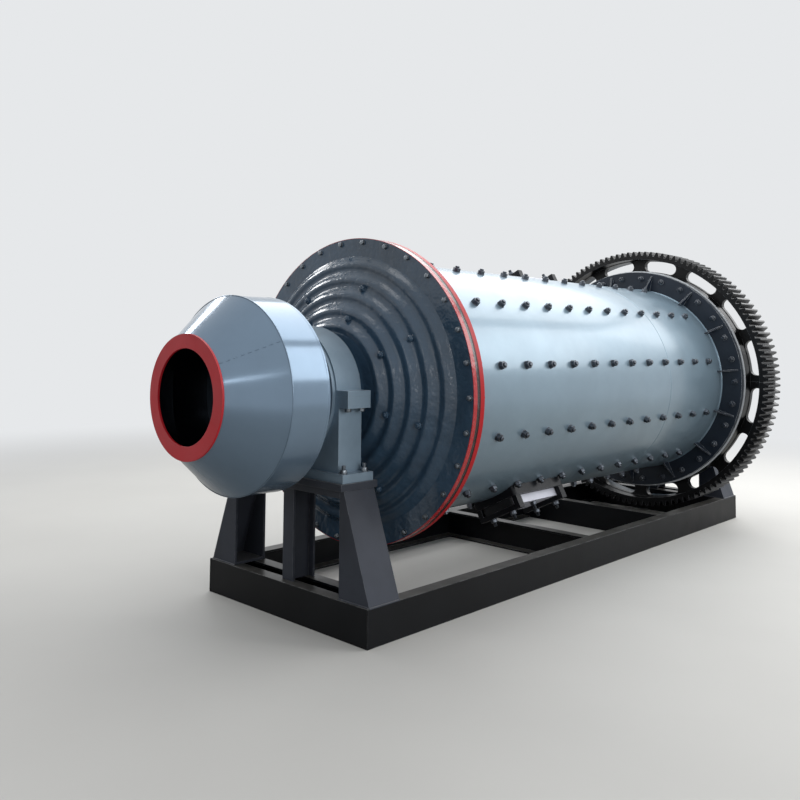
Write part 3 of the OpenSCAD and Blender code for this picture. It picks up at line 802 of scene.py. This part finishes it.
def foot_studs():
    """Studs that hold each bearing down on its pedestal, and the bolts under the split's ears."""
    studs = []
    ears = []
    for end, (low, high) in BEARINGS.items():
        middle = (low.x + high.x) / 2
        over_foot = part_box(f"{end}_top_beam")[1].z + OVER_FOOT
        for side in (NEAR, FAR):
            for way in (FEEDWARD, GEARWARD):
                start = Vector((middle + way.x * FOOT_X, side * FOOT_Y, over_foot))
                studs.append(facing(first_hit(f"{end}_bearing_base", start, DOWN), UP))
                ear = Vector((middle + way.x * EAR_X, side * EAR_Y, AXIS_Z - EAR_DROP))
                ears.append(facing(ear, DOWN))
    piece = repeat(bolt(FOOT_THREAD, FOOT_STUD, STUD_THREADS), "foot_studs", studs)
    dress(piece, GREY_STEEL, "base")
    piece = repeat(bolt(EAR_THREAD), "ear_bolts", ears)
    dress(piece, GREY_STEEL, "base")


# Bolts of the manholes, the gear's split and the feeder

# Angle of each manhole round the drum
MANHOLES = {"low": -63, "high": 117}
MANHOLE_THREAD = 0.024
MANHOLE_STUD = 0.020
# A clamp's nuts stand this far from its end and from the cover's middle
CLAMP_INSET = 0.025
CLAMP_REACH = 0.080
# A line cast in at a manhole starts this far off the shell
OFF_SHELL = 0.5


def manhole_nuts():
    """Nuts on the clamps, and on the stud beside the middle of each cover."""
    for name, angle in MANHOLES.items():
        up = outwards(angle)
        aside = up.cross(GEARWARD) * CLAMP_REACH
        low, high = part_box(f"manhole_clamps_{name}")
        middle = (low.x + high.x) / 2
        reach = (high.x - low.x) / 2 - CLAMP_INSET
        starts = [on_drum(x, angle, SHELL_R + OFF_SHELL) + aside * side
                  for x in (middle - reach, middle + reach) for side in (-1, 1)]
        places = [facing(first_hit(f"manhole_clamps_{name}", start, -up), up) for start in starts]
        start = on_drum(middle, angle, SHELL_R + OFF_SHELL) + aside
        places.append(facing(first_hit(f"manhole_cover_{name}", start, -up), up))
        piece = repeat(bolt(MANHOLE_THREAD, MANHOLE_STUD, STUD_THREADS), f"manhole_nuts_{name}", places)
        dress(piece, BLACK_OXIDE, "drum")


SPLIT_THREAD = 0.020
SPLIT_STUD = 0.010
# Where the bolts of the gear's split stand: from the axis, behind the web, and on the flanges' faces
SPLIT_BOLT_R = 0.985
SPLIT_BOLT_STEPS = (0.030, 0.075)
SPLIT_FLANGE_T = 0.026


def split_bolts():
    """Bolts that draw the gear's halves together at both ends of the split, behind the web."""
    places = []
    for step in SPLIT_BOLT_STEPS:
        for side in (NEAR, FAR):
            for way in (UP, DOWN):
                at = Vector((GEAR_WEB_BACK + step, side * SPLIT_BOLT_R, AXIS_Z + way.z * SPLIT_FLANGE_T))
                places.append(facing(at, way))
    piece = repeat(bolt(SPLIT_THREAD, SPLIT_STUD), "gear_split_bolts", places)
    dress(piece, GEAR_PAINT, "drum")


BACK_PLATE_BOLTS = 8
BACK_PLATE_THREAD = 0.020
BACK_PLATE_CIRCLE = 0.210


def back_plate_bolts():
    """Bolts that hold the feeder's back plate to the trunnion."""
    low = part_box("feeder_back_plate")[0]
    places = ring(BACK_PLATE_BOLTS, 180 / BACK_PLATE_BOLTS, low.x, BACK_PLATE_CIRCLE, FEEDWARD)
    piece = repeat(bolt(BACK_PLATE_THREAD), "feeder_back_plate_bolts", places)
    dress(piece, BLACK_OXIDE, "drum")


# Weld beads

def bead_ring(x, radius, size):
    """Bead round the drum, a thin torus."""
    bpy.ops.mesh.primitive_torus_add(
        location=(x, 0, AXIS_Z), rotation=(0, math.pi / 2, 0), major_radius=radius, minor_radius=size,
        major_segments=160, minor_segments=6)
    piece = bpy.context.object
    settle(piece)
    return piece


def bead_line(start, end, size):
    """Straight bead between two points."""
    run = end - start
    bpy.ops.mesh.primitive_cylinder_add(vertices=8, radius=size, depth=run.length)
    piece = bpy.context.object
    piece.matrix_world = facing((start + end) / 2, run.normalized(), 0)
    settle(piece)
    return piece


# Radius of the bead along a seam, of the finer one along the feeder's drum, and of a fillet's
SEAM = 0.003
FINE_SEAM = 0.0024
FILLET = 0.007
# Beads are shaded smooth round, and sharp only at their ends
BEAD_SMOOTH = 80
# Where the shell's two courses meet, and the angle of each course's own seam
SHELL_SEAM_X = SKID_LOW.x + 3.070
COURSE_SEAMS = (148, 268)


def shell_welds():
    """Seams of the shell's two courses, and the fillets of its flanges."""
    on_plate = SHELL_R - SUNK
    pieces = [bead_ring(SHELL_SEAM_X, on_plate, SEAM)]
    pieces.append(bead_ring(FEED_FLANGE[1].x, SHELL_R, FILLET))
    pieces.append(bead_ring(GEAR_FLANGE_BACK, SHELL_R, FILLET))
    ends = [FEED_FLANGE[1].x, SHELL_SEAM_X, GEAR_FLANGE_BACK]
    for start, end, angle in zip(ends, ends[1:], COURSE_SEAMS):
        pieces.append(bead_line(on_drum(start, angle, on_plate), on_drum(end, angle, on_plate), SEAM))
    piece = join(pieces, "shell_welds")
    smooth(piece, BEAD_SMOOTH)
    dress(piece, SHELL_PAINT, "drum")


# Length of the feeder's straight drum behind its cone, and the angle of that drum's seam
FEEDER_STRAIGHT = 0.228
FEEDER_SEAM_ANGLE = 128
# How far inside their edges the beads of the back plate and of the mouth ring lie
BACK_BEAD_IN = 0.002
MOUTH_BEAD_IN = 0.008
# The cone's own seam is a row of short tacks, each over this part of its share of the seam
CONE_SEAM_ANGLE = 33.7
CONE_TACKS = 9
TACK_FROM = 0.2
TACK_TO = 0.7


def feeder_welds():
    """Seams of the feeder's cone, drum, mouth ring and back plate."""
    drum_low, drum_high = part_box("feeder_drum")
    ring_low, ring_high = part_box("feeder_mouth_ring")
    drum_r = (drum_high.y - drum_low.y) / 2
    back = drum_high.x
    cone_x = back - FEEDER_STRAIGHT
    mouth_r = (ring_high.y - ring_low.y) / 2 - MOUTH_BEAD_IN
    pieces = [bead_ring(cone_x, drum_r, SEAM)]
    pieces.append(bead_ring(back, drum_r - BACK_BEAD_IN, SEAM))
    pieces.append(bead_ring(ring_high.x, mouth_r, SEAM))
    pieces.append(bead_line(on_drum(cone_x, FEEDER_SEAM_ANGLE, drum_r),
                            on_drum(back, FEEDER_SEAM_ANGLE, drum_r), FINE_SEAM))
    mouth = on_drum(ring_high.x, CONE_SEAM_ANGLE, mouth_r)
    run = on_drum(cone_x, CONE_SEAM_ANGLE, drum_r) - mouth
    for k in range(CONE_TACKS):
        start = mouth + run * (k + TACK_FROM) / CONE_TACKS
        end = mouth + run * (k + TACK_TO) / CONE_TACKS
        pieces.append(bead_line(start, end, SEAM))
    piece = join(pieces, "feeder_welds")
    smooth(piece, BEAD_SMOOTH)
    dress(piece, FEEDER_PAINT, "drum")


# Radius of the fillets round the legs' feet
FOOT_FILLET = 0.0056
# Width of the skid channels' flanges, which meet in a mitre at each corner
CHANNEL_FLANGE = 0.080
# The corners' beads stop short of the floor
OFF_FLOOR = 0.002


def pedestal_welds():
    """Fillets round the feet of the pedestals' legs."""
    pieces = []
    for end in ("feed", "discharge"):
        for side in ("near", "far"):
            low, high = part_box(f"{end}_leg_{side}")
            outer, inner = (low.y, high.y) if side == "near" else (high.y, low.y)
            corners = [Vector((low.x, inner, low.z)), Vector((low.x, outer, low.z)),
                       Vector((high.x, outer, low.z)), Vector((high.x, inner, low.z))]
            for start, to in zip(corners, corners[1:]):
                pieces.append(bead_line(start, to, FOOT_FILLET))
    piece = join(pieces, "pedestal_welds")
    smooth(piece, BEAD_SMOOTH)
    dress(piece, PEDESTAL_PAINT, "base")


def skid_welds():
    """Seams down the skid's corners and along the mitres on top of them."""
    pieces = []
    for x in (SKID_LOW.x, SKID_HIGH.x):
        for y in (SKID_LOW.y, SKID_HIGH.y):
            corner = Vector((x, y, SKID_HIGH.z))
            pieces.append(bead_line(Vector((x, y, OFF_FLOOR)), corner, SEAM))
            inner = corner - Vector((math.copysign(CHANNEL_FLANGE, x), math.copysign(CHANNEL_FLANGE, y), 0))
            pieces.append(bead_line(corner, inner, SEAM))
    piece = join(pieces, "skid_welds")
    smooth(piece, BEAD_SMOOTH)
    dress(piece, SKID_PAINT, "base")


liner_bolts()
flange_bolts()
head_bolts("feed_head_bolts", "feed_head", FEED_HEAD_RINGS, FEEDWARD, FEED_HEAD_PAINT)
head_bolts("discharge_head_bolts", "discharge_head", DISCHARGE_HEAD_RINGS, GEARWARD,
           DISCHARGE_HEAD_PAINT)
cover_bolts()
foot_studs()
manhole_nuts()
split_bolts()
back_plate_bolts()
shell_welds()
feeder_welds()
pedestal_welds()
skid_welds()


# Floor, light and background

BACKGROUND = "#e6e8ea"
# The floor's colour to the camera, and to the light that it throws back at the mill
FLOOR_SEEN = "#cecdc9"
FLOOR_LIT = "#8f8d88"
FLOOR_SIDE = 80
FLOOR_PATCH = 1.2
SKY_LIGHT = "#f4f7fb"
SKY_STRENGTH = 0.35
# The floor runs into the background between these distances from the mill
FADE_FROM = 3.5
FADE_TO = 10.0


def seen_or_mirrored(tree):
    """1 for what the camera, a mirror or glass sees, 0 for light on its way."""
    path = add(tree, "ShaderNodeLightPath").outputs
    seen = add(tree, "ShaderNodeMath", {"operation": "MAXIMUM"},
               {0: path["Is Camera Ray"], 1: path["Is Glossy Ray"]}).outputs[0]
    return add(tree, "ShaderNodeMath", {"operation": "MAXIMUM"},
               {0: seen, 1: path["Is Transmission Ray"]}).outputs[0]


def floor():
    """Pale matt floor that throws little light back, and fades into the background."""
    bpy.ops.mesh.primitive_plane_add(size=FLOOR_SIDE)
    plane = bpy.context.object
    plane.name = "floor"
    material, tree = new_material("pale_screed")
    where = add(tree, "ShaderNodeTexCoord").outputs["Object"]
    clouds = span(tree, noise(tree, where, FLOOR_PATCH, 4.0), 0.3, 0.7)
    pale = blend(tree, clouds, deepen(linear(FLOOR_SEEN), 0.05), linear(FLOOR_SEEN))
    seen = add(tree, "ShaderNodeLightPath").outputs["Is Camera Ray"]
    shader = add(tree, "ShaderNodeBsdfPrincipled", {"Roughness": 0.6, "IOR": 1.45},
                 {"Base Color": blend(tree, seen, linear(FLOOR_LIT), pale)})
    away = add(tree, "ShaderNodeVectorMath", {"operation": "LENGTH"}, {0: where}).outputs["Value"]
    fade = add(tree, "ShaderNodeMapRange",
               {"interpolation_type": "SMOOTHSTEP", "From Min": FADE_FROM, "From Max": FADE_TO},
               {"Value": away}).outputs["Result"]
    glow = add(tree, "ShaderNodeEmission", {"Color": linear(BACKGROUND), "Strength": 1.0})
    mixed = add(tree, "ShaderNodeMixShader", None,
                {0: multiply(tree, fade, seen_or_mirrored(tree)), 1: shader.outputs[0], 2: glow.outputs[0]})
    add(tree, "ShaderNodeOutputMaterial", None, {"Surface": mixed.outputs[0]})
    plane.data.materials.append(material)


def world():
    """Pale background for what the camera and reflections see, and a dim soft light for the rest."""
    sky = bpy.data.worlds.new("soft_sky")
    scene.world = sky
    sky.use_nodes = True
    tree = sky.node_tree
    tree.nodes.clear()
    soft = add(tree, "ShaderNodeBackground", {"Color": linear(SKY_LIGHT), "Strength": SKY_STRENGTH})
    shown = add(tree, "ShaderNodeBackground", {"Color": linear(BACKGROUND), "Strength": 1.0})
    mixed = add(tree, "ShaderNodeMixShader", None,
                {0: seen_or_mirrored(tree), 1: soft.outputs[0], 2: shown.outputs[0]})
    add(tree, "ShaderNodeOutputWorld", None, {"Surface": mixed.outputs[0]})


def softbox(name, at, towards, size, brightness):
    """Soft lamp of a given size, whose face is so many times as bright as white."""
    bpy.ops.object.light_add(type="AREA", location=at)
    lamp = bpy.context.object
    lamp.name = name
    lamp.data.shape = "RECTANGLE"
    lamp.data.size = size[0]
    lamp.data.size_y = size[1]
    lamp.data.energy = brightness * math.pi * size[0] * size[1]
    lamp.rotation_euler = (Vector(towards) - Vector(at)).to_track_quat("-Z", "Y").to_euler()
    lamp.visible_camera = False


floor()
world()
# Each lamp stands where the mill mirrors it: high ones for the pale upper half of the shell and the crests
# of the feed head, a low one for the near side, a narrow strip for the streak along the feeder's cone, and
# one beyond each end
softbox("overhead", (3.6, 1.2, 5.4), (3.6, 1.19, 0.0), (8.2, 6.4), 2.3)
softbox("near_high", (5.5, -4.9, 4.9), (5.5, 0.0, 1.2), (9.0, 4.4), 2.7)
softbox("near_low", (-2.0, -8.5, 3.0), (-0.5, 0.0, 1.0), (6.0, 3.0), 3.6)
softbox("far_high", (-2.5, 5.4, 4.7), (-1.5, 0.0, 1.2), (4.6, 0.8), 10.0)
softbox("feed_high", (-1.6, 0.0, 5.8), (-1.9, 0.0, 1.2), (1.6, 3.0), 1.6)
softbox("feed_strip", (-7.1, -3.7, 3.5), (-2.5, -0.3, 1.25), (2.4, 0.16), 8.0)
softbox("feed_end", (-9.0, -1.0, 3.0), (-2.0, 0.0, 1.2), (3.0, 2.5), 0.5)
softbox("gear_end", (8.5, -1.5, 4.0), (1.5, 0.0, 1.2), (3.5, 2.5), 2.0)

scene.view_settings.view_transform = "Standard"
